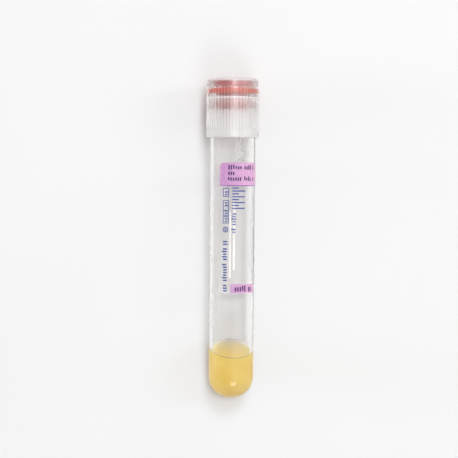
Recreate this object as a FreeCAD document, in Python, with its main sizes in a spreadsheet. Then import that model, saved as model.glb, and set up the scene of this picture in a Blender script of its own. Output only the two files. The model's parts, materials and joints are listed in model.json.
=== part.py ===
import FreeCAD, Part
import math
import os

import Sketcher
from FreeCAD import Placement, Rotation, Vector

# Evacuated blood collection tube: a clear moulded tube with a round bottom, a plug of separator
# gel in it, a film label wrapped round it, and a closure of two pieces, a rubber stopper held in
# a ribbed plastic shield. It lies on its side, as it comes to rest on a table.
#
# Each sub-part is drawn upright on the tube's own axis, with the round bottom at height 0 and the
# rim at tube_length. The side that faces up once the tube lies is -Y. lay_down() then turns all
# of them together onto the table: +Y runs towards the closure, +Z is up, and the origin is under
# the middle of the object.

SIZES = [
    # tube
    ("tube_length", 100.0, "round bottom to rim"),
    ("tube_radius", 7.48, "outside radius of the straight lower stretch"),
    ("rim_radius", 7.6, "outside radius at the rim, which the draft of the mould gives"),
    ("straight_length", 33.0, "height up to which the outside keeps tube_radius"),
    ("tube_wall", 1.0, "wall"),
    ("bottom_flat", 0.28, "radius of the flat spot at the middle of the round bottom"),
    ("rim_round", 0.3, "rounding of the rim's two edges"),
    # separator gel
    ("gel_low", 13.8, "height of the gel on the side that lies up"),
    ("gel_high", 19.2, "height of the gel on the side that lies down"),
    ("gel_turn", 10.0, "degrees from straight down to the side where the gel is highest"),
    ("gel_gap", 0.02, "gel to wall"),
    # label
    ("label_low", 35.0, "height of the label's lower edge"),
    ("label_width", 43.1, "label's size along the tube"),
    ("label_film", 0.08, "thickness of the film"),
    ("label_gap", 0.02, "adhesive between the film and the tube"),
    ("label_start", 32.0, "degrees from the upper side back to the label's first edge"),
    ("label_wrap", 227.0, "degrees that the label covers"),
    ("label_corner", 1.3, "radius of the label's corners"),
    # shield
    ("shield_rise", 6.2, "rim to the top of the shield"),
    ("skirt_depth", 13.5, "rim to the skirt's lower edge"),
    ("skirt_bore", 8.0, "inside radius of the skirt and of the flange's seat"),
    ("band_radius", 8.75, "outside radius of the smooth band at the skirt's edge"),
    ("band_height", 2.8, "skirt's edge to the lower ends of the flutes"),
    ("rib_start", 0.6, "lower ends of the flutes to where the ribs stand proud of the band"),
    ("rib_radius", 8.85, "outside radius of the ribs"),
    ("rib_rise", 3.2, "rim to the top of the ribs"),
    ("rib_fade", 0.8, "height of the slope from the ribs in to the collar"),
    ("rib_count", 50, "ribs round the shield"),
    ("flute_width", 0.7, "width of the flutes between the ribs"),
    ("flute_depth", 0.27, "depth of the flutes"),
    ("collar_radius", 8.45, "outside radius of the smooth collar above the ribs"),
    ("shoulder_round", 1.2, "rounding of the shield's top edge"),
    ("skirt_round", 0.25, "rounding of the skirt's lower edges"),
    ("top_wall", 1.1, "thickness of the shield's top"),
    ("port_radius", 5.0, "radius of the hole in the shield's top"),
    ("port_round", 0.4, "rounding of that hole's upper edge"),
    ("crown_bore", 7.2, "inside radius round the stopper's crown"),
    ("ledge_bore", 6.5, "inside radius of the ledge that carries the stopper"),
    ("ledge_height", 1.0, "thickness of that ledge"),
    ("rim_gap", 0.05, "tube's rim to the ledge above it"),
    # stopper
    ("flange_height", 1.6, "thickness of the stopper's flange"),
    ("flange_gap", 0.05, "flange to the wall round it and to the step above it"),
    ("seat_gap", 0.02, "stopper to the ledge under it and to the shield's top"),
    ("crown_radius", 6.6, "radius of the crown above the flange"),
    ("well_radius", 3.5, "radius of the well that the needle enters"),
    ("well_depth", 4.2, "depth of that well"),
    ("well_round", 1.2, "rounding at the inner ends of the well and of the hollow under the plug"),
    ("plug_depth", 6.0, "rim to the lower end of the plug in the tube's bore"),
    ("plug_gap", 0.04, "sealing ring to the bore"),
    ("ring_depth", 1.6, "rim to the top of the sealing ring"),
    ("ring_height", 2.0, "height of the sealing ring"),
    ("ring_relief", 0.3, "how far the plug beside the sealing ring stands back from it"),
    ("plug_taper", 0.6, "how much narrower the plug is at its lower end"),
    ("cavity_radius", 3.6, "radius of the hollow under the plug"),
    ("cavity_depth", 3.2, "depth of that hollow"),
    ("rubber_round", 0.3, "rounding of the stopper's edges"),
]

UP = Vector(0, 0, 1)
ROUND = "round"

doc = FreeCAD.newDocument("blood_collection_tube")
sheet = doc.addObject("Spreadsheet::Sheet", "Sizes")
for row, (alias, number, meaning) in enumerate(SIZES, start=1):
    sheet.set(f"A{row}", meaning)
    sheet.set(f"B{row}", str(number))
    sheet.setAlias(f"B{row}", alias)
doc.recompute()


class Size:
    """A number and the formula of the sheet's cells that gives it.

    Sketches are drawn at the number, so that they start solved, and are bound to the formula.
    """

    def __init__(self, number, formula):
        self.number = number
        self.formula = formula

    def __add__(self, other):
        return Size(self.number + other.number, f"{self.formula} + {other.formula}")

    def __sub__(self, other):
        return Size(self.number - other.number, f"{self.formula} - ({other.formula})")

    def __neg__(self):
        return Size(-self.number, f"-({self.formula})")

    def __mul__(self, other):
        return Size(self.number * other.number, f"({self.formula}) * ({other.formula})")

    def __truediv__(self, other):
        return Size(self.number / other.number, f"({self.formula}) / ({other.formula})")


def cell(name):
    return Size(float(sheet.get(name)), f"Sizes.{name}")


ZERO = Size(0.0, "0")
TWO = Size(2.0, "2")


def new_body(name):
    body = doc.addObject("PartDesign::Body", name)
    body.Label = name
    return body


def origin_feature(body, role):
    """One of the body's own origin planes or axes."""
    return next(item for item in body.Origin.OriginFeatures if item.Role == role)


def new_sketch(body, name, plane):
    sketch = body.newObject("Sketcher::SketchObject", name)
    sketch.AttachmentSupport = [(origin_feature(body, plane), "")]
    sketch.MapMode = "FlatFace"
    return sketch


def hold(sketch, constraint, size):
    """Adds a constraint with a datum and binds the datum to the size's formula."""
    index = sketch.addConstraint(constraint)
    sketch.setExpression(f"Constraints[{index}]", size.formula)


def outline(body, name, corners, plane="XZ_Plane"):
    """A closed outline; each corner is two sizes, across and up from the sketch's origin.

    A corner marked ROUND starts a quarter circle, which leaves it level and ends upright.
    """
    sketch = new_sketch(body, name, plane)
    spots = [Vector(across.number, up.number, 0) for across, up, *_ in corners]
    following = spots[1:] + spots[:1]
    for corner, spot, end in zip(corners, spots, following):
        side = Part.LineSegment(spot, end)
        if ROUND in corner:
            centre = Vector(spot.x, end.y, 0)
            side = Part.ArcOfCircle(Part.Circle(centre, UP, end.x - spot.x), -math.pi / 2, 0)
        sketch.addGeometry(side, False)
    for i, (across, up, *mark) in enumerate(corners):
        sketch.addConstraint(Sketcher.Constraint("Coincident", i, 2, (i + 1) % len(corners), 1))
        hold(sketch, Sketcher.Constraint("DistanceX", -1, 1, i, 1, across.number), across)
        hold(sketch, Sketcher.Constraint("DistanceY", -1, 1, i, 1, up.number), up)
        if mark:
            sketch.addConstraint(Sketcher.Constraint("Vertical", i, 1, i, 3))
    return sketch


def turn(body, kind, name, sketch):
    """A full turn of the outline about the tube's axis, added to the body or cut from it."""
    turned = body.newObject(f"PartDesign::{kind}", name)
    turned.Profile = sketch
    turned.ReferenceAxis = (sketch, ["V_Axis"])
    turned.Angle = 360
    doc.recompute()
    return turned


def ring_edges(feature, rings):
    """Names of the feature's full circles about the axis, each given as radius and height."""
    names = []
    for index, edge in enumerate(feature.Shape.Edges, start=1):
        if not isinstance(edge.Curve, Part.Circle):
            continue
        for radius, height in rings:
            off = max(abs(edge.Curve.Radius - radius.number), abs(edge.Curve.Center.z - height.number))
            if off < 1e-4:
                names.append(f"Edge{index}")
    return names


def round_rings(body, name, feature, rings, radius):
    rounded = body.newObject("PartDesign::Fillet", name)
    rounded.Base = (feature, ring_edges(feature, rings))
    rounded.setExpression("Radius", radius.formula)
    doc.recompute()
    return rounded


def make_tube():
    """Moulded in one piece: straight below, drafted above, one wall thickness, rounded rim."""
    rim = cell("tube_length")
    wall = cell("tube_wall")
    radius = cell("tube_radius")
    rim_radius = cell("rim_radius")
    straight = cell("straight_length")
    flat = cell("bottom_flat")
    bottom = radius - flat

    body = new_body("tube")
    outside = [
        (ZERO, ZERO),
        (flat, ZERO, ROUND),
        (radius, bottom),
        (radius, straight),
        (rim_radius, rim),
        (ZERO, rim),
    ]
    turn(body, "Revolution", "TubeOutside", outline(body, "TubeOutline", outside))
    inside = [
        (ZERO, wall),
        (flat, wall, ROUND),
        (radius - wall, bottom),
        (radius - wall, straight),
        (rim_radius - wall, rim),
        (ZERO, rim),
    ]
    bore = turn(body, "Groove", "TubeBore", outline(body, "BoreOutline", inside))
    rings = [(rim_radius, rim), (rim_radius - wall, rim)]
    round_rings(body, "TubeRim", bore, rings, cell("rim_round"))
    return body


def make_gel():
    """Fills the round bottom up to a slanted surface, which reaches highest on the lower side."""
    low = cell("gel_low")
    high = cell("gel_high")
    gap = cell("gel_gap")
    wall = cell("tube_wall")
    flat = cell("bottom_flat")
    tube_radius = cell("tube_radius")
    radius = tube_radius - wall - gap
    floor = wall + gap

    body = new_body("separator_gel")
    filling = [
        (ZERO, floor),
        (flat, floor, ROUND),
        (radius, tube_radius - flat),
        (radius, high + gap),
        (ZERO, high + gap),
    ]
    turn(body, "Revolution", "GelFilling", outline(body, "GelOutline", filling))

    # The cut's lower side is the gel's surface, drawn on past the gel to the tube's outside.
    middle = (low + high) / TWO
    rise = (high - low) / TWO * (tube_radius / radius)
    above = [
        (-tube_radius, middle - rise),
        (tube_radius, middle + rise),
        (tube_radius, high + rise),
        (-tube_radius, high + rise),
    ]
    slant = body.newObject("PartDesign::Pocket", "GelSurface")
    slant.Profile = outline(body, "SlantOutline", above, "YZ_Plane")
    slant.Type = "ThroughAll"
    slant.Midplane = True
    doc.recompute()
    return body


def make_label():
    """A film with rounded corners, wrapped part of the way round the tube.

    The corners are rounded on a block as thick as two walls, which is then turned down to the film.
    """
    rim = cell("tube_length")
    wall = cell("tube_wall")
    straight = cell("straight_length")
    tube_radius = cell("tube_radius")
    draft = (cell("rim_radius") - tube_radius) / (rim - straight)
    low = cell("label_low")
    high = low + cell("label_width")
    under_low = tube_radius + draft * (low - straight) + cell("label_gap")
    under_high = tube_radius + draft * (high - straight) + cell("label_gap")
    over_low = under_low + cell("label_film")
    over_high = under_high + cell("label_film")
    inside = tube_radius - wall
    outside = cell("rim_radius") + wall

    body = new_body("label")
    block = [(inside, low), (outside, low), (outside, high), (inside, high)]
    wrap = turn(body, "Revolution", "LabelBlock", outline(body, "BlockOutline", block))
    wrap.setExpression("Angle", cell("label_wrap").formula)
    doc.recompute()

    corners = body.newObject("PartDesign::Fillet", "LabelCorners")
    across = [
        f"Edge{index}"
        for index, edge in enumerate(wrap.Shape.Edges, start=1)
        if abs(edge.Length - (outside - inside).number) < 1e-4
    ]
    corners.Base = (wrap, across)
    corners.setExpression("Radius", cell("label_corner").formula)
    doc.recompute()

    under = [(ZERO, low), (under_low, low), (under_high, high), (ZERO, high)]
    turn(body, "Groove", "LabelUnderside", outline(body, "UndersideOutline", under))
    over = [(over_low, low), (outside, low), (outside, high), (over_high, high)]
    turn(body, "Groove", "LabelFace", outline(body, "FaceOutline", over))
    return body


def make_shield():
    """Moulded cup: smooth band, ribbed skirt, collar and a top with a hole for the needle.

    A ledge inside carries the stopper's flange, and a step above the flange traps it.
    """
    rim = cell("tube_length")
    top = rim + cell("shield_rise")
    top_under = top - cell("top_wall")
    skirt_edge = rim - cell("skirt_depth")
    flute_end = skirt_edge + cell("band_height")
    rib_low = flute_end + cell("rib_start")
    rib_high = rim + cell("rib_rise")
    skirt_bore = cell("skirt_bore")
    band_radius = cell("band_radius")
    rib_radius = cell("rib_radius")
    collar_radius = cell("collar_radius")
    port_radius = cell("port_radius")

    body = new_body("shield")
    section = [
        (skirt_bore, skirt_edge),
        (band_radius, skirt_edge),
        (band_radius, rib_low),
        (rib_radius, rib_low + rib_radius - band_radius),
        (rib_radius, rib_high),
        (collar_radius, rib_high + cell("rib_fade")),
        (collar_radius, top),
        (port_radius, top),
        (port_radius, top_under),
        (cell("crown_bore"), top_under),
        (cell("crown_bore"), flange_top() + cell("flange_gap")),
        (skirt_bore, flange_top() + cell("flange_gap")),
        (skirt_bore, ledge_top()),
        (cell("ledge_bore"), ledge_top()),
        (cell("ledge_bore"), rim + cell("rim_gap")),
        (skirt_bore, rim + cell("rim_gap")),
    ]
    blank = turn(body, "Revolution", "ShieldBlank", outline(body, "ShieldSection", section))
    shoulder = round_rings(body, "Shoulder", blank, [(collar_radius, top)], cell("shoulder_round"))
    port = round_rings(body, "PortEdge", shoulder, [(port_radius, top)], cell("port_round"))
    skirt = [(skirt_bore, skirt_edge), (band_radius, skirt_edge)]
    round_rings(body, "SkirtEdge", port, skirt, cell("skirt_round"))

    flute = body.newObject("PartDesign::Pocket", "Flute")
    flute.Profile = flute_outline(body, flute_end, top)
    flute.Reversed = True
    flute.setExpression("Length", (cell("flute_depth") * TWO).formula)
    doc.recompute()

    ribs = body.newObject("PartDesign::PolarPattern", "Ribs")
    ribs.Originals = [flute]
    ribs.Axis = (origin_feature(body, "Z_Axis"), [""])
    ribs.Angle = 360
    ribs.setExpression("Occurrences", cell("rib_count").formula)
    body.Tip = ribs
    doc.recompute()
    return body


def flute_outline(body, low, high):
    """A slot with a round lower end, drawn on a plane at the floor of the flutes."""
    sketch = new_sketch(body, "FluteOutline", "XZ_Plane")
    floor = cell("rib_radius") - cell("flute_depth")
    sketch.setExpression("AttachmentOffset.Base.z", floor.formula)

    half = cell("flute_width") / TWO
    centre = low + half
    turn_point = Vector(0, centre.number, 0)
    side = half.number
    sketch.addGeometry(Part.ArcOfCircle(Part.Circle(turn_point, UP, side), math.pi, 2 * math.pi), False)
    right_low = Vector(side, centre.number, 0)
    right_high = Vector(side, high.number, 0)
    left_low = Vector(-side, centre.number, 0)
    left_high = Vector(-side, high.number, 0)
    sketch.addGeometry(Part.LineSegment(right_low, right_high), False)
    sketch.addGeometry(Part.LineSegment(right_high, left_high), False)
    sketch.addGeometry(Part.LineSegment(left_high, left_low), False)
    sketch.addConstraint(Sketcher.Constraint("Tangent", 0, 2, 1, 1))
    sketch.addConstraint(Sketcher.Constraint("Coincident", 1, 2, 2, 1))
    sketch.addConstraint(Sketcher.Constraint("Coincident", 2, 2, 3, 1))
    sketch.addConstraint(Sketcher.Constraint("Tangent", 3, 2, 0, 1))
    sketch.addConstraint(Sketcher.Constraint("Vertical", 1))
    sketch.addConstraint(Sketcher.Constraint("Horizontal", 2))
    sketch.addConstraint(Sketcher.Constraint("Vertical", 3))
    sketch.addConstraint(Sketcher.Constraint("PointOnObject", 0, 3, -2))
    hold(sketch, Sketcher.Constraint("Radius", 0, side), half)
    hold(sketch, Sketcher.Constraint("DistanceY", -1, 1, 0, 3, centre.number), centre)
    hold(sketch, Sketcher.Constraint("DistanceY", -1, 1, 1, 2, high.number), high)
    return sketch


def ledge_top():
    """Height of the ledge on which the stopper's flange sits."""
    return cell("tube_length") + cell("rim_gap") + cell("ledge_height")


def flange_top():
    return ledge_top() + cell("seat_gap") + cell("flange_height")


def make_stopper():
    """Rubber, one piece: crown with a needle well, flange, and a hollow plug with a sealing ring."""
    rim = cell("tube_length")
    edge = cell("rubber_round")
    top = rim + cell("shield_rise") - cell("top_wall") - cell("seat_gap")
    well_floor = top - cell("well_depth")
    flange_under = ledge_top() + cell("seat_gap")
    flange_radius = cell("skirt_bore") - cell("flange_gap")
    crown_radius = cell("crown_radius")
    well_radius = cell("well_radius")
    relief = cell("ring_relief")
    ring_radius = cell("rim_radius") - cell("tube_wall") - cell("plug_gap")
    neck_radius = ring_radius - relief
    tip_radius = neck_radius - cell("plug_taper")
    ring_high = rim - cell("ring_depth")
    ring_low = ring_high - cell("ring_height")
    plug_low = rim - cell("plug_depth")
    cavity_radius = cell("cavity_radius")
    cavity_top = plug_low + cell("cavity_depth")

    body = new_body("stopper")
    section = [
        (ZERO, cavity_top),
        (cavity_radius, cavity_top),
        (cavity_radius, plug_low),
        (tip_radius, plug_low),
        (neck_radius, ring_low - relief),
        (ring_radius, ring_low),
        (ring_radius, ring_high),
        (neck_radius, ring_high + relief),
        (neck_radius, flange_under),
        (flange_radius, flange_under),
        (flange_radius, flange_top()),
        (crown_radius, flange_top()),
        (crown_radius, top),
        (well_radius, top),
        (well_radius, well_floor),
        (ZERO, well_floor),
    ]
    blank = turn(body, "Revolution", "StopperBlank", outline(body, "StopperSection", section))
    ends = [(well_radius, well_floor), (cavity_radius, cavity_top)]
    hollows = round_rings(body, "HollowEnds", blank, ends, cell("well_round"))
    edges = [
        (tip_radius, plug_low),
        (flange_radius, flange_under),
        (flange_radius, flange_top()),
        (crown_radius, top),
        (well_radius, top),
    ]
    round_rings(body, "StopperEdges", hollows, edges, edge)
    return body


def upright_turn(degrees):
    """A turn about the tube's own axis."""
    return Placement(Vector(0, 0, 0), Rotation(UP, degrees))


def lay_down(turns):
    """Places each body, given with its own turn about the axis, on the table.

    The object rests on the lower ends of the ribs and on the curve of the round bottom, so its
    axis rises towards the closure by the slope of the line that touches both.
    """
    flat = cell("bottom_flat").number
    bottom = cell("tube_radius").number - flat
    rib_foot = cell("tube_length") - cell("skirt_depth") + cell("band_height") + cell("rib_start")
    run = rib_foot.number - bottom
    rise = cell("rib_radius").number - flat
    tilt = math.degrees(math.atan2(rise, run) - math.asin(bottom / math.hypot(rise, run)))
    laid = Placement(Vector(0, 0, 0), Rotation(Vector(1, 0, 0), tilt - 90))

    for body, own_turn in turns:
        body.Placement = laid * own_turn
    box = Part.Compound([body.Shape for body, _ in turns]).optimalBoundingBox(False, False)
    seat = Placement(Vector(-box.Center.x, -box.Center.y, -box.ZMin), Rotation())
    for body, own_turn in turns:
        body.Placement = seat * laid * own_turn
    doc.recompute()
    return seat * laid


def check_document():
    """Stops the build if any object failed or any sub-part isn't one valid solid."""
    for item in doc.Objects:
        if {"Invalid", "Error"} & set(item.State):
            raise RuntimeError(f"{item.Label} failed: {item.State}")
    for body in doc.findObjects("PartDesign::Body"):
        shape = body.Shape
        if shape.isNull() or not shape.isValid() or len(shape.Solids) != 1:
            raise RuntimeError(f"{body.Label} isn't one valid solid")


turns = [
    (make_tube(), upright_turn(0)),
    (make_gel(), upright_turn(cell("gel_turn").number)),
    (make_label(), upright_turn(-90 - cell("label_start").number)),
    (make_shield(), upright_turn(0)),
    (make_stopper(), upright_turn(0)),
]
frame = lay_down(turns)
check_document()

os.makedirs("parts", exist_ok=True)
for body in doc.findObjects("PartDesign::Body"):
    body.Shape.exportStep(f"parts/{body.Label}.step")
    print(body.Label, "volume", round(body.Shape.Volume, 2))
print("axis towards the closure", frame.Rotation.multVec(UP))
print("rim centre", frame.multVec(UP * cell("tube_length").number))
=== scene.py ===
import json
import math
import random

import bmesh
import bpy
from mathutils import Matrix, Vector


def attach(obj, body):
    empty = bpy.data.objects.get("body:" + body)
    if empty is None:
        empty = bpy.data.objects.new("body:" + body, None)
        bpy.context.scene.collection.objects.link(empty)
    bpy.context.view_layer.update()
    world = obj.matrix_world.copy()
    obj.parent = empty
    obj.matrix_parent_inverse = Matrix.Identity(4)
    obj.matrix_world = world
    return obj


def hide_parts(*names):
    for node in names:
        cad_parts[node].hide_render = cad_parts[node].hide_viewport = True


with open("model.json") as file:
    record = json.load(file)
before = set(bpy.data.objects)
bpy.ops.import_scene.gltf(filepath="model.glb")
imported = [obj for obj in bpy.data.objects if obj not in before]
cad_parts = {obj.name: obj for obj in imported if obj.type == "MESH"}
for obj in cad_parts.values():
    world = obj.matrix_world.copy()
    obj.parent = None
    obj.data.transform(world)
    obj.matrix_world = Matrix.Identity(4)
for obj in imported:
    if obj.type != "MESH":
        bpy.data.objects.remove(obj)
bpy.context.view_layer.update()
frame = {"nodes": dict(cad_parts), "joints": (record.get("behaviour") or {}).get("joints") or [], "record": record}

# ---------------------------------------------------------------------------------------------
# Tube. One piece of clear polyester, injection moulded with a round bottom and a slight draft.
# Its wall is 1 mm thick all the way, with faint flow marks along it and a dull lip at the mouth.
# ---------------------------------------------------------------------------------------------
MM = 0.001
TUBE_LENGTH = 100 * MM
TUBE_RADIUS = 7.48 * MM
TUBE_WALL = 1.0 * MM
DRAFT_START = 32.8 * MM
DRAFT = 0.12 / 67.2
WALL_MOUNT_HEIGHT = 20.1 * MM
LIP_DEPTH = 0.12 * MM
LIP_ROUGHNESS = 0.35
LIP_CLARITY = 0.3
PAST_THE_END = 1 * MM
FLOW_DEPTH = 0.02 * MM
FLOW_HAZE = (0.0, 0.02)
CLEAR_PLASTIC = (0.985, 0.978, 0.972)

closure_slide = frame["joints"][0]
along = Vector(closure_slide["axis"])
wall_mount = next(m for m in frame["record"]["mounts"] if m["name"] == "tube_wall")
foot = Vector(wall_mount["pos_m"]) - along * WALL_MOUNT_HEIGHT
lean = math.atan2(along.z, along.y) - math.pi / 2
lay_down = Matrix.Translation(foot) @ Matrix.Rotation(lean, 4, "X")


def cleared(tree):
    """Empties a node tree; gives a shortcut for linking its nodes and one for adding them."""
    tree.nodes.clear()

    def add(kind, **settings):
        node = tree.nodes.new(kind)
        for key, value in settings.items():
            setattr(node, key, value)
        return node

    return tree.links.new, add


def new_material(name):
    """A material with an empty tree, the two shortcuts for it, and its output."""
    material = bpy.data.materials.new(name)
    material.use_nodes = True
    link, add = cleared(material.node_tree)
    return material, link, add, add("ShaderNodeOutputMaterial")


def feed(link, value, socket):
    """Gives a socket another node's output, or a plain number or colour of its own."""
    if isinstance(value, bpy.types.NodeSocket):
        link(value, socket)
    elif socket.type == "RGBA":
        socket.default_value = (*value, 1)
    else:
        socket.default_value = value


def worked_out(link, add, operation, *values):
    """The result of a sum on numbers or other nodes' outputs."""
    node = add("ShaderNodeMath", operation=operation)
    for socket, value in zip(node.inputs, values):
        feed(link, value, socket)
    return node.outputs["Value"]


def within(link, add, value, low, high):
    """1 where a value lies between two numbers and 0 elsewhere."""
    above = worked_out(link, add, "GREATER_THAN", value, low)
    below = worked_out(link, add, "LESS_THAN", value, high)
    return worked_out(link, add, "MULTIPLY", above, below)


def rescale(link, add, value, start, end, low=0.0, high=1.0):
    """What runs from low to high while a value runs from start to end, and no further."""
    node = add("ShaderNodeMapRange")
    names = ("Value", "From Min", "From Max", "To Min", "To Max")
    for name, number in zip(names, (value, start, end, low, high)):
        feed(link, number, node.inputs[name])
    return node.outputs["Result"]


def ramp(link, add, source, stops):
    """A colour ramp over a factor; each stop is a position and a grey or a colour."""
    node = add("ShaderNodeValToRGB")
    elements = node.color_ramp.elements
    while len(elements) < len(stops):
        elements.new(0.5)
    for element, (position, colour) in zip(elements, stops):
        element.position = position
        element.color = (*colour, 1) if isinstance(colour, tuple) else (colour, colour, colour, 1)
    link(source, node.inputs["Fac"])
    return node.outputs["Color"]


def two_tone(link, add, pattern, tones, low=0.3, high=0.7):
    """A pattern in two tones: one up to the low mark, the other from the high mark on."""
    return ramp(link, add, pattern, [(low, tones[0]), (high, tones[1])])


def on_the_tube(link, add):
    """Object coordinates turned so that Z runs up the tube and -Y is its upper side."""
    place = add("ShaderNodeMapping", vector_type="TEXTURE")
    place.inputs["Location"].default_value = foot
    place.inputs["Rotation"].default_value = (lean, 0, 0)
    link(add("ShaderNodeTexCoord").outputs["Object"], place.inputs["Vector"])
    return place.outputs["Vector"]


def height_up(link, add, where):
    """The height up the tube from its round end, in metres."""
    parts = add("ShaderNodeSeparateXYZ")
    link(where, parts.inputs["Vector"])
    return parts.outputs["Z"]


def mottle(link, add, where, scale, detail=2.0):
    """Cloudy noise with that many spots a metre."""
    pattern = add("ShaderNodeTexNoise")
    pattern.inputs["Scale"].default_value = scale
    pattern.inputs["Detail"].default_value = detail
    link(where, pattern.inputs["Vector"])
    return pattern.outputs["Fac"]


def streaks(link, add, where, across, lengthwise):
    """Noise drawn out along the tube, with that many spots a metre across it and along it."""
    stretch = add("ShaderNodeMapping")
    stretch.inputs["Scale"].default_value = (across, across, lengthwise)
    link(where, stretch.inputs["Vector"])
    return mottle(link, add, stretch.outputs["Vector"], 1.0, detail=1.0)


def relief(link, add, height, strength, depth):
    """The slope of a surface that stands up to a depth proud where a pattern is full."""
    bump = add("ShaderNodeBump")
    bump.inputs["Strength"].default_value = strength
    bump.inputs["Distance"].default_value = depth
    link(height, bump.inputs["Height"])
    return bump.outputs["Normal"]


def finish_with(link, add, values):
    """A Principled shader with its sockets fed by name."""
    shader = add("ShaderNodeBsdfPrincipled")
    for name, value in values.items():
        feed(link, value, shader.inputs[name])
    return shader.outputs["BSDF"]


def by_angle(link, add, facing, grazing):
    """One colour where light meets a wall square on, turning to another where it only glances."""
    glance = add("ShaderNodeLayerWeight")
    glance.inputs["Blend"].default_value = 0.3
    return two_tone(link, add, glance.outputs["Facing"], (facing, grazing), 0.2, 0.95)


def let_lamps_through(link, add, surface, passed):
    """Clear and thin walls pass lamp light unbent, in a colour, and otherwise show as they are."""
    rays = add("ShaderNodeLightPath").outputs
    lamp_light = worked_out(link, add, "MAXIMUM", rays["Is Shadow Ray"], rays["Is Diffuse Ray"])
    clear = add("ShaderNodeBsdfTransparent")
    link(passed, clear.inputs["Color"])
    mix = add("ShaderNodeMixShader")
    link(lamp_light, mix.inputs["Fac"])
    link(surface, mix.inputs[1])
    link(clear.outputs["BSDF"], mix.inputs[2])
    return mix.outputs["Shader"]


def clad(node, material):
    """Gives a part's own solid a material in every slot."""
    slots = frame["nodes"][node].data.materials
    for index in range(len(slots)):
        slots[index] = material
    if not slots:
        slots.append(material)


polyester, link, add, out = new_material("clear_polyester")
where = on_the_tube(link, add)
height = height_up(link, add, where)
flow = streaks(link, add, where, across=700, lengthwise=12)
haze = two_tone(link, add, flow, FLOW_HAZE, 0.35, 0.8)
lip = within(link, add, height, TUBE_LENGTH - LIP_DEPTH, TUBE_LENGTH + PAST_THE_END)
wall = finish_with(link, add, {
    "Base Color": CLEAR_PLASTIC,
    "IOR": 1.57,
    "Roughness": rescale(link, add, lip, 0, 1, haze, LIP_ROUGHNESS),
    "Transmission Weight": rescale(link, add, lip, 0, 1, 1.0, LIP_CLARITY),
    "Normal": relief(link, add, flow, 0.02, FLOW_DEPTH),
})
passed = by_angle(link, add, (0.972, 0.969, 0.965), (0.56, 0.55, 0.54))
link(let_lamps_through(link, add, wall, passed), out.inputs["Surface"])
clad("tube", polyester)

# ---------------------------------------------------------------------------------------------
# Additive. The anticoagulant is sprayed into the tube and dries on the bore below the closure as
# a thin scatter of pale grey flakes.
# ---------------------------------------------------------------------------------------------
BORE_RADIUS = TUBE_RADIUS - TUBE_WALL
FLAKES = 420
FLAKE_SIDES = 8
FLAKE_THICKNESS = 0.015 * MM
FLAKE_CLEARANCE = 0.005 * MM
RAGGED = 0.25
# The flakes' reach, their scatter round the bore and the stretch that they cover, in mm.
SMALLEST_FLAKE, LARGEST_FLAKE = 0.05, 0.18
SCATTER_MIDDLE, SCATTER_WIDTH = 2.6, 0.85
SCATTER_LOW, SCATTER_HIGH = 72, 86.5
SALT = ((0.36, 0.39, 0.34), (0.58, 0.60, 0.56))


def widening(height):
    """How much wider the tube is at a height than at its round end."""
    return DRAFT * max(0, height - DRAFT_START)


def thicken(shape, thickness):
    """Raises flat faces that lie at height 0 into thin slabs."""
    for item in bmesh.ops.extrude_face_region(shape, geom=shape.faces[:])["geom"]:
        if isinstance(item, bmesh.types.BMVert):
            item.co.z = thickness


def make_piece(shape, name, place=lay_down):
    """Lays a finished shape down with the tube, or elsewhere, and puts it in the scene."""
    bmesh.ops.transform(shape, matrix=place, verts=shape.verts[:])
    mesh = bpy.data.meshes.new(name)
    shape.to_mesh(mesh)
    shape.free()
    piece = bpy.data.objects.new(name, mesh)
    bpy.context.scene.collection.objects.link(piece)
    return piece


flakes = bmesh.new()
chance = random.Random(3)
for _ in range(FLAKES):
    across = chance.gauss(SCATTER_MIDDLE, SCATTER_WIDTH) * MM
    spot = Matrix.Translation((across, chance.uniform(SCATTER_LOW, SCATTER_HIGH) * MM, 0))
    heading = Matrix.Rotation(chance.uniform(0, 6), 4, "Z")
    shape = spot @ heading @ Matrix.Diagonal((1, chance.uniform(0.4, 1), 1, 1))
    reach = chance.uniform(SMALLEST_FLAKE, LARGEST_FLAKE) * MM
    disc = bmesh.ops.create_circle(
        flakes, cap_ends=True, segments=FLAKE_SIDES, radius=reach, matrix=shape
    )
    for corner in disc["verts"]:
        ragged = chance.uniform(-RAGGED, RAGGED), chance.uniform(-RAGGED, RAGGED), 0
        corner.co += Vector(ragged) * reach
thicken(flakes, FLAKE_THICKNESS)
for corner in flakes.verts:
    turn = corner.co.x / BORE_RADIUS
    reach = BORE_RADIUS + widening(corner.co.y) - FLAKE_CLEARANCE - corner.co.z
    corner.co = (reach * math.sin(turn), -reach * math.cos(turn), corner.co.y)
bmesh.ops.recalc_face_normals(flakes, faces=flakes.faces[:])
additive = make_piece(flakes, "additive_flakes")

dried, link, add, out = new_material("dried_additive")
crust = mottle(link, add, on_the_tube(link, add), 6000)
salt = finish_with(link, add, {
    "Base Color": two_tone(link, add, crust, SALT, 0.35, 0.7),
    "Roughness": 0.8,
    "Alpha": 0.5,
    "Normal": relief(link, add, crust, 0.4, 0.01 * MM),
})
link(salt, out.inputs["Surface"])
additive.data.materials.append(dried)
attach(additive, "tube")

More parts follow.
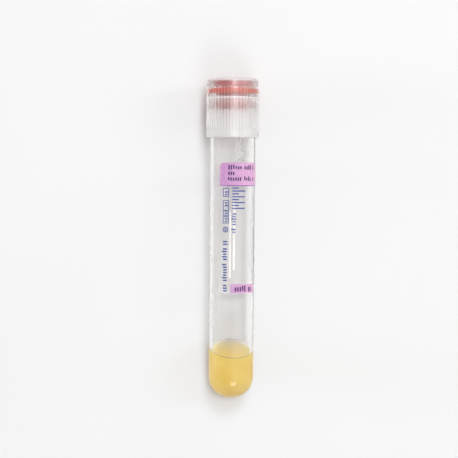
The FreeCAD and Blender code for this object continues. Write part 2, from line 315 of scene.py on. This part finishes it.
# ---------------------------------------------------------------------------------------------
# Separator gel. A soft, honey-coloured plug that was dosed into the round bottom and set at a
# slant. It wets the wall, so it fills the tube to its outline, and it creeps up the wall a little.
# ---------------------------------------------------------------------------------------------
BOTTOM_FLAT = 0.28 * MM
GEL_INTO_WALL = 0.05 * MM
GEL_LOW = 13.8 * MM
GEL_HIGH = 19.2 * MM
GEL_TURN = math.radians(10)
GEL_DISH = ((0.985, 0.15), (0.95, 0.27), (0.88, 0.35), (0.7, 0.41), (0.45, 0.44), (0.2, 0.45))
CURVE_STEPS = 24
WALL_STEPS = 30
WALL_RISE = 16 * MM
# The depth under the top face that is painted paler, as painted light.
LIT_TOP_DEPTH = 0.6 * MM
WATERLINE = 0.27 * MM
NEXT_TO_WALL = 0.98
HONEY = ((0.72, 0.50, 0.12), (0.78, 0.565, 0.18))
# Painted light on the gel's top face, from its low side to its high side.
PAINTED_LIGHT_ON_TOP = [(0.1, (0.95, 0.62, 0.20)), (0.5, (0.95, 0.65, 0.31)), (0.95, (0.95, 0.75, 0.58))]
WATERLINE_BROWN = (0.50, 0.30, 0.10)


def turned(section, steps):
    """A shape spun from half its section, given as distances from the axis and heights."""
    shape = bmesh.new()
    rim = [shape.verts.new((reach, 0, height)) for reach, height in section]
    for low, high in zip(rim, rim[1:]):
        shape.edges.new((low, high))
    bmesh.ops.spin(
        shape, geom=shape.verts[:] + shape.edges[:], axis=(0, 0, 1), angle=2 * math.pi,
        steps=steps, use_merge=True,
    )
    bmesh.ops.remove_doubles(shape, verts=shape.verts[:], dist=0.002 * MM)
    return shape


def blend(link, add, share, none, full, kind="RGBA"):
    """One colour, or number, that turns into another as a share goes from 0 to 1."""
    mix = add("ShaderNodeMix", data_type=kind)
    feed(link, share, mix.inputs["Factor"])
    feed(link, none, mix.inputs["A"])
    feed(link, full, mix.inputs["B"])
    return mix.outputs["Result"]


gel_radius = BORE_RADIUS + GEL_INTO_WALL
curve = gel_radius - BOTTOM_FLAT
curve_top = TUBE_RADIUS - BOTTOM_FLAT
section = [(0, TUBE_WALL - GEL_INTO_WALL)]
for step in range(CURVE_STEPS + 1):
    angle = math.pi / 2 * step / CURVE_STEPS
    section.append((BOTTOM_FLAT + curve * math.sin(angle), curve_top - curve * math.cos(angle)))
for step in range(1, WALL_STEPS + 1):
    section.append((gel_radius, curve_top + WALL_RISE * step / WALL_STEPS))
shell = turned(section, steps=128)
slant = (GEL_HIGH - GEL_LOW) / (2 * gel_radius)
downhill = Vector((math.sin(GEL_TURN), -math.cos(GEL_TURN), 0))
surface_normal = (downhill * slant + Vector((0, 0, 1))).normalized()
surface_middle = Vector((0, 0, (GEL_LOW + GEL_HIGH) / 2))
bmesh.ops.bisect_plane(
    shell, geom=shell.verts[:] + shell.edges[:] + shell.faces[:], plane_co=surface_middle,
    plane_no=surface_normal, clear_outer=True,
)
ring = [edge for edge in shell.edges if edge.is_boundary]
reach, sunk = 1.0, 0.0
for share, depth in GEL_DISH:
    grown = bmesh.ops.extrude_edge_only(shell, edges=ring)["geom"]
    corners = [item for item in grown if isinstance(item, bmesh.types.BMVert)]
    ring = [item for item in grown if isinstance(item, bmesh.types.BMEdge)]
    middle = surface_middle - surface_normal * sunk * MM
    sink = surface_normal * (depth - sunk) * MM
    for corner in corners:
        corner.co = middle + (corner.co - middle) * share / reach - sink
    reach, sunk = share, depth
bmesh.ops.pointmerge(shell, verts=corners, merge_co=surface_middle - surface_normal * sunk * MM)
bmesh.ops.recalc_face_normals(shell, faces=shell.faces[:])
gel = make_piece(shell, "gel_plug")
gel.data.shade_smooth()

honey, link, add, out = new_material("separator_gel")
where = on_the_tube(link, add)
height = height_up(link, add, where)
cloud = mottle(link, add, where, 160, detail=3)
tone = two_tone(link, add, cloud, HONEY)
sideways = add("ShaderNodeVectorMath", operation="MULTIPLY")
link(where, sideways.inputs[0])
sideways.inputs[1].default_value = (1, 1, 0)
from_axis = add("ShaderNodeVectorMath", operation="LENGTH")
link(sideways.outputs["Vector"], from_axis.inputs[0])
off_the_wall = within(link, add, from_axis.outputs["Value"], -1, gel_radius * NEXT_TO_WALL)
on_the_wall = within(link, add, from_axis.outputs["Value"], gel_radius * NEXT_TO_WALL, 1)
level = add("ShaderNodeVectorMath", operation="DOT_PRODUCT")
link(where, level.inputs[0])
level.inputs[1].default_value = surface_normal
top = surface_middle.dot(surface_normal)
near_top = within(link, add, level.outputs["Value"], top - LIT_TOP_DEPTH, top + PAST_THE_END)
waterline = within(link, add, level.outputs["Value"], top - WATERLINE, top + PAST_THE_END)
on_top = worked_out(link, add, "MULTIPLY", near_top, off_the_wall)
# A thin darker brown line is drawn round the wall where the gel's top meets it.
line = worked_out(link, add, "MULTIPLY", waterline, on_the_wall)
climb = rescale(link, add, height, GEL_LOW, GEL_HIGH)
# The top face is painted paler than the body, more so towards its high side: painted light and sheen.
painted_light_top = blend(link, add, on_top, tone, ramp(link, add, climb, PAINTED_LIGHT_ON_TOP))
soft = finish_with(link, add, {
    "Base Color": blend(link, add, line, painted_light_top, WATERLINE_BROWN),
    "Subsurface Weight": 0.9,
    "Subsurface Radius": (1.0, 0.7, 0.3),
    "Subsurface Scale": 20.0 * MM,
    "IOR": 1.42,
    "Roughness": 0.45,
    "Specular IOR Level": 0.2,
    "Normal": relief(link, add, cloud, 0.3, 0.1 * MM),
})
passed = by_angle(link, add, (0.6, 0.46, 0.16), (0.86, 0.66, 0.08))
link(let_lamps_through(link, add, soft, passed), out.inputs["Surface"])
gel.data.materials.append(honey)
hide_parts("separator_gel")
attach(gel, "tube")

# ---------------------------------------------------------------------------------------------
# Label. A clear self-adhesive film with rounded corners, wrapped two thirds of the way round.
# A lilac field is printed across its top and a small lilac tab at its foot.
# ---------------------------------------------------------------------------------------------
LABEL_TOP = 78.1 * MM
FIELD_FOOT = 70.5 * MM
FIELD_HEM = 0.25 * MM
TAB_LOW, TAB_HIGH = 35.2 * MM, 38.1 * MM
TAB_START, TAB_END = math.radians(-3), math.radians(72)
VIOLET_TO, PINK_FROM = math.radians(-22), math.radians(45)
VIOLET = ((0.56, 0.29, 0.55), (0.66, 0.37, 0.63))
PINK = ((0.70, 0.38, 0.63), (0.82, 0.50, 0.72))
HEM_VIOLET = (0.38, 0.17, 0.46)
CLEAR_FILM = (0.93, 0.93, 0.94)


def turn_round(link, add, where):
    """The angle round the tube from its upper side, in radians."""
    parts = add("ShaderNodeSeparateXYZ")
    link(where, parts.inputs["Vector"])
    upwards = worked_out(link, add, "MULTIPLY", parts.outputs["Y"], -1)
    return worked_out(link, add, "ARCTAN2", parts.outputs["X"], upwards)


film, link, add, out = new_material("printed_film")
where = on_the_tube(link, add)
turn = turn_round(link, add, where)
height = height_up(link, add, where)
field = within(link, add, height, FIELD_FOOT, LABEL_TOP + PAST_THE_END)
tab_height = within(link, add, height, TAB_LOW, TAB_HIGH)
tab_width = within(link, add, turn, TAB_START, TAB_END)
tab = worked_out(link, add, "MULTIPLY", tab_height, tab_width)
inked = worked_out(link, add, "MAXIMUM", field, tab)
blotch = mottle(link, add, where, 900, detail=5)
violet = two_tone(link, add, blotch, VIOLET)
pink = two_tone(link, add, blotch, PINK)
lilac = blend(link, add, rescale(link, add, turn, VIOLET_TO, PINK_FROM), violet, pink)
hem = within(link, add, height, FIELD_FOOT, FIELD_FOOT + FIELD_HEM)
edged = blend(link, add, hem, lilac, HEM_VIOLET)
sheet = finish_with(link, add, {
    "Base Color": blend(link, add, inked, CLEAR_FILM, edged),
    "Roughness": 0.3,
    "IOR": 1.3,
    "Alpha": rescale(link, add, inked, 0, 1, 0.04, 0.9),
})
passed = blend(link, add, inked, (0.985, 0.985, 0.985), (0.80, 0.70, 0.82))
link(let_lamps_through(link, add, sheet, passed), out.inputs["Surface"])
clad("label", film)

# ---------------------------------------------------------------------------------------------
# Label print. Three inks laid on the film before it is cut: dark lines in the lilac field and tab,
# blue lines, boxes and a fill scale beside them, and two faint grey lines. All of it plain bars.
# ---------------------------------------------------------------------------------------------
FILM_RADIUS = TUBE_RADIUS + 0.1 * MM
INK_THICKNESS = 0.01 * MM
VIOLET_INK, BLUE_INK, GREY_INK = range(3)
ACROSS, UPRIGHT = False, True
# The print is drawn flat, in mm, and then rolled round the film.
LONGEST_FLAT = 0.6
BOX_LEFT, BOX_RIGHT, BOX_STROKE = -3.1, -1.1, 0.22
RING_ACROSS, RING_UP, RING_RADIUS, RING_HOLE = -2.2, 56.1, 0.93, 0.7
SCALE_FOOT, SCALE_STEP, SCALE_STROKE = 62.9, 0.95, 0.4
SHORT_MARK, LONG_MARK = 2.2, 4.4

printed = bmesh.new()
chance = random.Random(5)


def print_bar(left, low, right, high, ink):
    """A printed bar, by its edges in mm round the film from the upper side and up the tube."""
    middle = Matrix.Translation(((left + right) / 2, (low + high) / 2, 0))
    corners = bmesh.ops.create_grid(
        printed, x_segments=max(1, round((right - left) / LONGEST_FLAT)), y_segments=1, size=0.5,
        matrix=middle @ Matrix.Diagonal((right - left, high - low, 1, 1)),
    )["verts"]
    for face in {face for corner in corners for face in corner.link_faces}:
        face.material_index = ink


def print_box(low, high, ink):
    """An outlined box in the column of boxes."""
    left, right, stroke = BOX_LEFT, BOX_RIGHT, BOX_STROKE
    print_bar(left, low, left + stroke, high, ink)
    print_bar(right - stroke, low, right, high, ink)
    print_bar(left + stroke, low, right - stroke, low + stroke, ink)
    print_bar(left + stroke, high - stroke, right - stroke, high, ink)


def print_line(start, end, foot, tall, upright, ink, pitch=0.46, stroke=0.24):
    """A line of short bars in groups, set across the tube or, where upright, up along it."""
    spot = start
    left_in_group = chance.randint(2, 6)
    while spot + stroke <= end:
        low = foot + tall * chance.choice((0.0, 0.0, 0.12))
        high = foot + tall * chance.choice((0.72, 0.78, 1.0))
        if upright:
            print_bar(-high, spot, -low, spot + stroke, ink)
        else:
            print_bar(spot, low, spot + stroke, high, ink)
        spot += pitch
        left_in_group -= 1
        if left_in_group == 0:
            spot += pitch
            left_in_group = chance.randint(3, 7)


# Start, end, foot and height in mm, the way the line runs, its ink, and its bars' pitch and width.
print_line(-1.35, 9.2, 75.85, 1.5, ACROSS, VIOLET_INK, 0.78, 0.5)
print_line(-1.4, 2.2, 74.05, 1.4, ACROSS, VIOLET_INK, 0.78, 0.5)
print_line(-1.45, 8.45, 72.15, 1.5, ACROSS, VIOLET_INK, 0.78, 0.5)
print_line(1.0, 8.2, 35.65, 2.0, ACROSS, VIOLET_INK, 0.84, 0.54)
print_box(66.85, 69.75, BLUE_INK)
print_line(67.35, 69.4, 1.5, 1.2, UPRIGHT, BLUE_INK, 0.86, 0.44)
print_box(58.1, 65.75, BLUE_INK)
print_line(58.6, 65.4, 1.5, 1.2, UPRIGHT, BLUE_INK, 0.86, 0.44)
print_line(51.0, 53.0, 1.5, 1.55, UPRIGHT, BLUE_INK, 0.86, 0.46)
print_line(35.7, 50.0, 1.65, 1.7, UPRIGHT, BLUE_INK, 0.86, 0.46)
print_line(55.0, 61.9, -1.25, 1.5, UPRIGHT, BLUE_INK, 0.86, 0.46)
print_line(39.2, 68.5, -10.6, 1.0, UPRIGHT, GREY_INK)
print_line(39.2, 60.0, -9.2, 1.0, UPRIGHT, GREY_INK)
for mark in range(8):
    low = SCALE_FOOT + mark * SCALE_STEP
    print_bar(0.0, low, SHORT_MARK if mark % 2 else LONG_MARK, low + SCALE_STROKE, BLUE_INK)
ring_middle = Matrix.Translation((RING_ACROSS, RING_UP, 0))
circle = bmesh.ops.create_circle(printed, segments=32, radius=RING_RADIUS, matrix=ring_middle)
outline = list(dict.fromkeys(edge for corner in circle["verts"] for edge in corner.link_edges))
grown = bmesh.ops.extrude_edge_only(printed, edges=outline)["geom"]
inner = [item for item in grown if isinstance(item, bmesh.types.BMVert)]
bmesh.ops.scale(
    printed, vec=(RING_HOLE, RING_HOLE, 1), space=ring_middle.inverted(), verts=inner
)
for face in {face for corner in inner for face in corner.link_faces}:
    face.material_index = BLUE_INK
print_bar(-2.45, 55.7, -1.95, 56.5, BLUE_INK)
thicken(printed, INK_THICKNESS)
for corner in printed.verts:
    turn = corner.co.x * MM / FILM_RADIUS
    reach = FILM_RADIUS + widening(corner.co.y * MM) + corner.co.z
    corner.co = (reach * math.sin(turn), -reach * math.cos(turn), corner.co.y * MM)
bmesh.ops.recalc_face_normals(printed, faces=printed.faces[:])
label_print = make_piece(printed, "label_print")


def ink(name, thin, full):
    """Printing ink that lies a little thicker in some places than in others."""
    material, link, add, out = new_material(name)
    laid = mottle(link, add, on_the_tube(link, add), 3000)
    tone = two_tone(link, add, laid, (full, thin), 0.35, 0.7)
    coat = finish_with(link, add, {"Base Color": tone, "Roughness": 0.4})
    link(coat, out.inputs["Surface"])
    return material


label_print.data.materials.append(ink("violet_ink", (0.09, 0.02, 0.18), (0.04, 0.01, 0.11)))
label_print.data.materials.append(ink("blue_ink", (0.06, 0.11, 0.38), (0.02, 0.04, 0.24)))
label_print.data.materials.append(ink("grey_ink", (0.62, 0.62, 0.68), (0.45, 0.45, 0.52)))
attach(label_print, "tube")

# ---------------------------------------------------------------------------------------------
# Shield. A cup moulded of frosted polyethylene, ribbed for grip, pushed over the tube's rim.
# Its wall is thin enough for the stopper to show through, blurred where it stands away from it.
# ---------------------------------------------------------------------------------------------
RIBS = 50
RIBS_LOW, RIBS_HIGH = 88.7 * MM, 103.6 * MM
SHIELD_LOW, SHIELD_HIGH = 86.5 * MM, 106.2 * MM
CROWN_LOW = 105.1 * MM
MILKY = (1.0, 0.995, 0.99)
# The grey tone is painted shade for the flutes between the ribs.
FLUTE_PAINTED_SHADE = (0.86, 0.845, 0.85)
CROWN_TINT = (0.915, 0.845, 0.84)
FROST = (0.28, 0.34)
# The narrow milky band at 0.661 to 0.673 paints a bright highlight line round the shield just below the tube's
# rim.
CLARITY = [
    (0.13, 0.74), (0.17, 0.64), (0.36, 0.66), (0.44, 0.72), (0.48, 0.95), (0.57, 0.95),
    (0.6, 0.86), (0.658, 0.88), (0.661, 0.15), (0.673, 0.15), (0.676, 0.97), (0.945, 0.97),
    (0.955, 0.5),
]
DULL_BANDS = [(0.13, 0.05), (0.17, 0.11), (0.42, 0.11), (0.5, 0.05), (0.66, 0.0)]

frosted, link, add, out = new_material("frosted_polyethylene")
where = on_the_tube(link, add)
turn = turn_round(link, add, where)
height = height_up(link, add, where)
rise = rescale(link, add, height, SHIELD_LOW, SHIELD_HIGH)
clarity = ramp(link, add, rise, CLARITY)
ribbed = within(link, add, height, RIBS_LOW, RIBS_HIGH)
ridge = worked_out(link, add, "COSINE", worked_out(link, add, "MULTIPLY", turn, RIBS))
hollow = rescale(link, add, ridge, -1, 1)
# The flutes between the ribs are tinted grey: painted shade in each recess.
shade = two_tone(link, add, hollow, (MILKY, FLUTE_PAINTED_SHADE), 0.6, 0.9)
# The rib crests are made less clear, so they show as milky white lines: painted glints.
painted_crest_glint = two_tone(link, add, hollow, (0.82, 1.0), 0.04, 0.2)
clarity_with_painted_glints = worked_out(link, add, "MULTIPLY", clarity, painted_crest_glint)
milk_and_painted_flute_shade = blend(link, add, ribbed, MILKY, shade)
crown = within(link, add, height, CROWN_LOW, SHIELD_HIGH + PAST_THE_END)
grain = mottle(link, add, where, 4000)
frost = two_tone(link, add, grain, FROST)
dulled = ramp(link, add, rise, DULL_BANDS)
cup = finish_with(link, add, {
    "Base Color": blend(link, add, crown, milk_and_painted_flute_shade, CROWN_TINT),
    "Transmission Weight": blend(link, add, ribbed, clarity, clarity_with_painted_glints, kind="FLOAT"),
    "IOR": 1.55,
    "Roughness": worked_out(link, add, "ADD", frost, dulled),
    "Normal": relief(link, add, grain, 0.1, 0.01 * MM),
})
passed = by_angle(link, add, (0.92, 0.91, 0.905), (0.54, 0.52, 0.51))
link(let_lamps_through(link, add, cup, passed), out.inputs["Surface"])
clad("shield", frosted)

# ---------------------------------------------------------------------------------------------
# Stopper. Red butyl rubber, moulded in one piece and siliconed, so it has a dull sheen. Its flange
# is squeezed against the shield, and the needle pierces it through the well in the crown.
# ---------------------------------------------------------------------------------------------
FLANGE_LOW, FLANGE_HIGH = 100.9 * MM, 102.8 * MM
# The section is in mm, as distances from the axis and heights up the tube.
FLANGE_SQUEEZE = 0.03
FLANGE_REACH = 8.0 + FLANGE_SQUEEZE
STOPPER_SECTION = (
    (0, 97.2), (3.6, 97.2), (3.6, 94.0), (5.66, 94.0), (6.26, 96.1), (6.62, 96.4), (6.62, 98.4),
    (6.26, 98.7), (6.26, 101.07), (FLANGE_REACH, 101.07), (FLANGE_REACH, 102.69), (6.6, 102.69),
    (6.6, 105.08), (3.5, 105.08), (3.5, 100.88), (2.0, 100.88), (1.8, 101.0), (1.6, 100.88),
    (0, 100.88),
)
STOPPER_EDGE = 0.2 * MM
WINE = ((0.38, 0.055, 0.065), (0.48, 0.085, 0.095))
BRICK = ((0.56, 0.075, 0.04), (0.67, 0.11, 0.07))

bung = turned([(reach * MM, height * MM) for reach, height in STOPPER_SECTION], steps=96)
bmesh.ops.recalc_face_normals(bung, faces=bung.faces[:])
sharp = [edge for edge in bung.edges if edge.calc_face_angle(0) > math.radians(40)]
bmesh.ops.bevel(
    bung, geom=sharp, affect="EDGES", offset=STOPPER_EDGE, segments=3, profile=0.5, material=-1
)
stopper = make_piece(bung, "rubber_stopper")
stopper.data.shade_smooth()
stopper.data.set_sharp_from_angle(angle=math.radians(35))

rubber, link, add, out = new_material("red_rubber")
where = on_the_tube(link, add)
speckle = mottle(link, add, where, 2500, detail=4)
wine = two_tone(link, add, speckle, WINE)
brick = two_tone(link, add, speckle, BRICK)
at_flange = within(link, add, height_up(link, add, where), FLANGE_LOW, FLANGE_HIGH)
sheen = finish_with(link, add, {
    "Base Color": blend(link, add, at_flange, wine, brick),
    "Roughness": 0.45,
    "Normal": relief(link, add, speckle, 0.25, 0.03 * MM),
})
link(sheen, out.inputs["Surface"])
stopper.data.materials.append(rubber)
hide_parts("stopper")
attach(stopper, "closure")

# ---------------------------------------------------------------------------------------------
# Studio. A pale paper table, soft lamps over it and low beside it, a white surround that sheds
# little light itself, and a camera that looks straight down on the tube.
# ---------------------------------------------------------------------------------------------
TABLE_REACH = 2.0
PAPER = (0.91, 0.925)
SURROUND_LIGHT = 0.18
CAMERA_PLACE = (-1.0 * MM, 3.0 * MM, 608 * MM)
CAMERA_TURN = math.radians(0.4)
CAMERA_LENS = 141.5

tabletop = bmesh.new()
bmesh.ops.create_grid(tabletop, x_segments=8, y_segments=8, size=TABLE_REACH)
table = make_piece(tabletop, "table", place=Matrix())

paper, link, add, out = new_material("table_paper")
fibre = mottle(link, add, add("ShaderNodeTexCoord").outputs["Object"], 14)
pulp = finish_with(link, add, {
    "Base Color": two_tone(link, add, fibre, PAPER),
    "Roughness": 0.9,
    "Specular IOR Level": 0.1,
})
link(pulp, out.inputs["Surface"])
table.data.materials.append(paper)

world = bpy.data.worlds.new("studio")
bpy.context.scene.world = world
world.use_nodes = True
link, add = cleared(world.node_tree)
rays = add("ShaderNodeLightPath").outputs
seen = worked_out(link, add, "MAXIMUM", rays["Is Camera Ray"], rays["Is Glossy Ray"])
shown = worked_out(link, add, "MAXIMUM", seen, rays["Is Transmission Ray"])
sky = add("ShaderNodeVectorMath", operation="DOT_PRODUCT")
link(add("ShaderNodeTexCoord").outputs["Generated"], sky.inputs[0])
sky.inputs[1].default_value = (-0.6, 0.0, 0.8)
dome = rescale(link, add, sky.outputs["Value"], 0.6, 0.9, 1.0, 0.3)
background = add("ShaderNodeBackground")
background.inputs["Color"].default_value = (1, 1, 1, 1)
strength = rescale(link, add, shown, 0, 1, SURROUND_LIGHT, dome)
link(strength, background.inputs["Strength"])
link(background.outputs["Background"], add("ShaderNodeOutputWorld").inputs["Surface"])


def softbox(name, place, across_tube, along_tube, power, mirrored=True):
    """A lamp that faces the middle of the object; one that isn't mirrored only sheds light."""
    lamp = bpy.data.lights.new(name, "AREA")
    lamp.shape = "RECTANGLE"
    lamp.size, lamp.size_y = across_tube, along_tube
    lamp.energy = power
    holder = bpy.data.objects.new(name, lamp)
    holder.location = place
    tilt = -math.asin(holder.location.normalized().y)
    holder.rotation_euler = (tilt, math.atan2(place[0], place[2]), 0)
    holder.visible_glossy = holder.visible_transmission = mirrored
    bpy.context.scene.collection.objects.link(holder)


# Name, place, width across the tube, length along it, and watts.
softbox("key", (0.4, 0.0, 2.1), 0.22, 0.8, 5.6, mirrored=False)
softbox("overhead", (0.38, -0.08, 2.0), 0.34, 0.1, 0.5)
softbox("over_the_closure", (0.3, 0.4, 2.0), 0.6, 0.16, 12.5)
softbox("right_of_the_closure", (1.5, 0.35, 1.0), 0.6, 0.3, 4.0)
softbox("low_on_the_left", (-1.5, 0.0, 0.12), 0.15, 0.5, 10.5, mirrored=False)
softbox("low_on_the_right", (1.5, 0.0, 0.12), 0.15, 0.5, 2.0, mirrored=False)
softbox("beyond_the_closure", (0.3, 1.1, 1.6), 0.5, 0.5, 10.8)
softbox("below_the_round_end", (0.4, -1.27, 1.4), 0.7, 0.76, 5.0)

lens = bpy.data.cameras.new("camera")
lens.lens = CAMERA_LENS
lens.sensor_width = 36
lens.clip_start = 0.01
camera = bpy.data.objects.new("camera", lens)
camera.location = CAMERA_PLACE
camera.rotation_euler = (0, 0, CAMERA_TURN)
bpy.context.scene.collection.objects.link(camera)
bpy.context.scene.camera = camera
bpy.context.scene.view_settings.view_transform = "Standard"
# Light crosses the shield, the label, both tube walls and the gel more than once on its way.
bpy.context.scene.cycles.transparent_max_bounces = 24
bpy.context.scene.cycles.max_bounces = 32
bpy.context.scene.cycles.transmission_bounces = 32
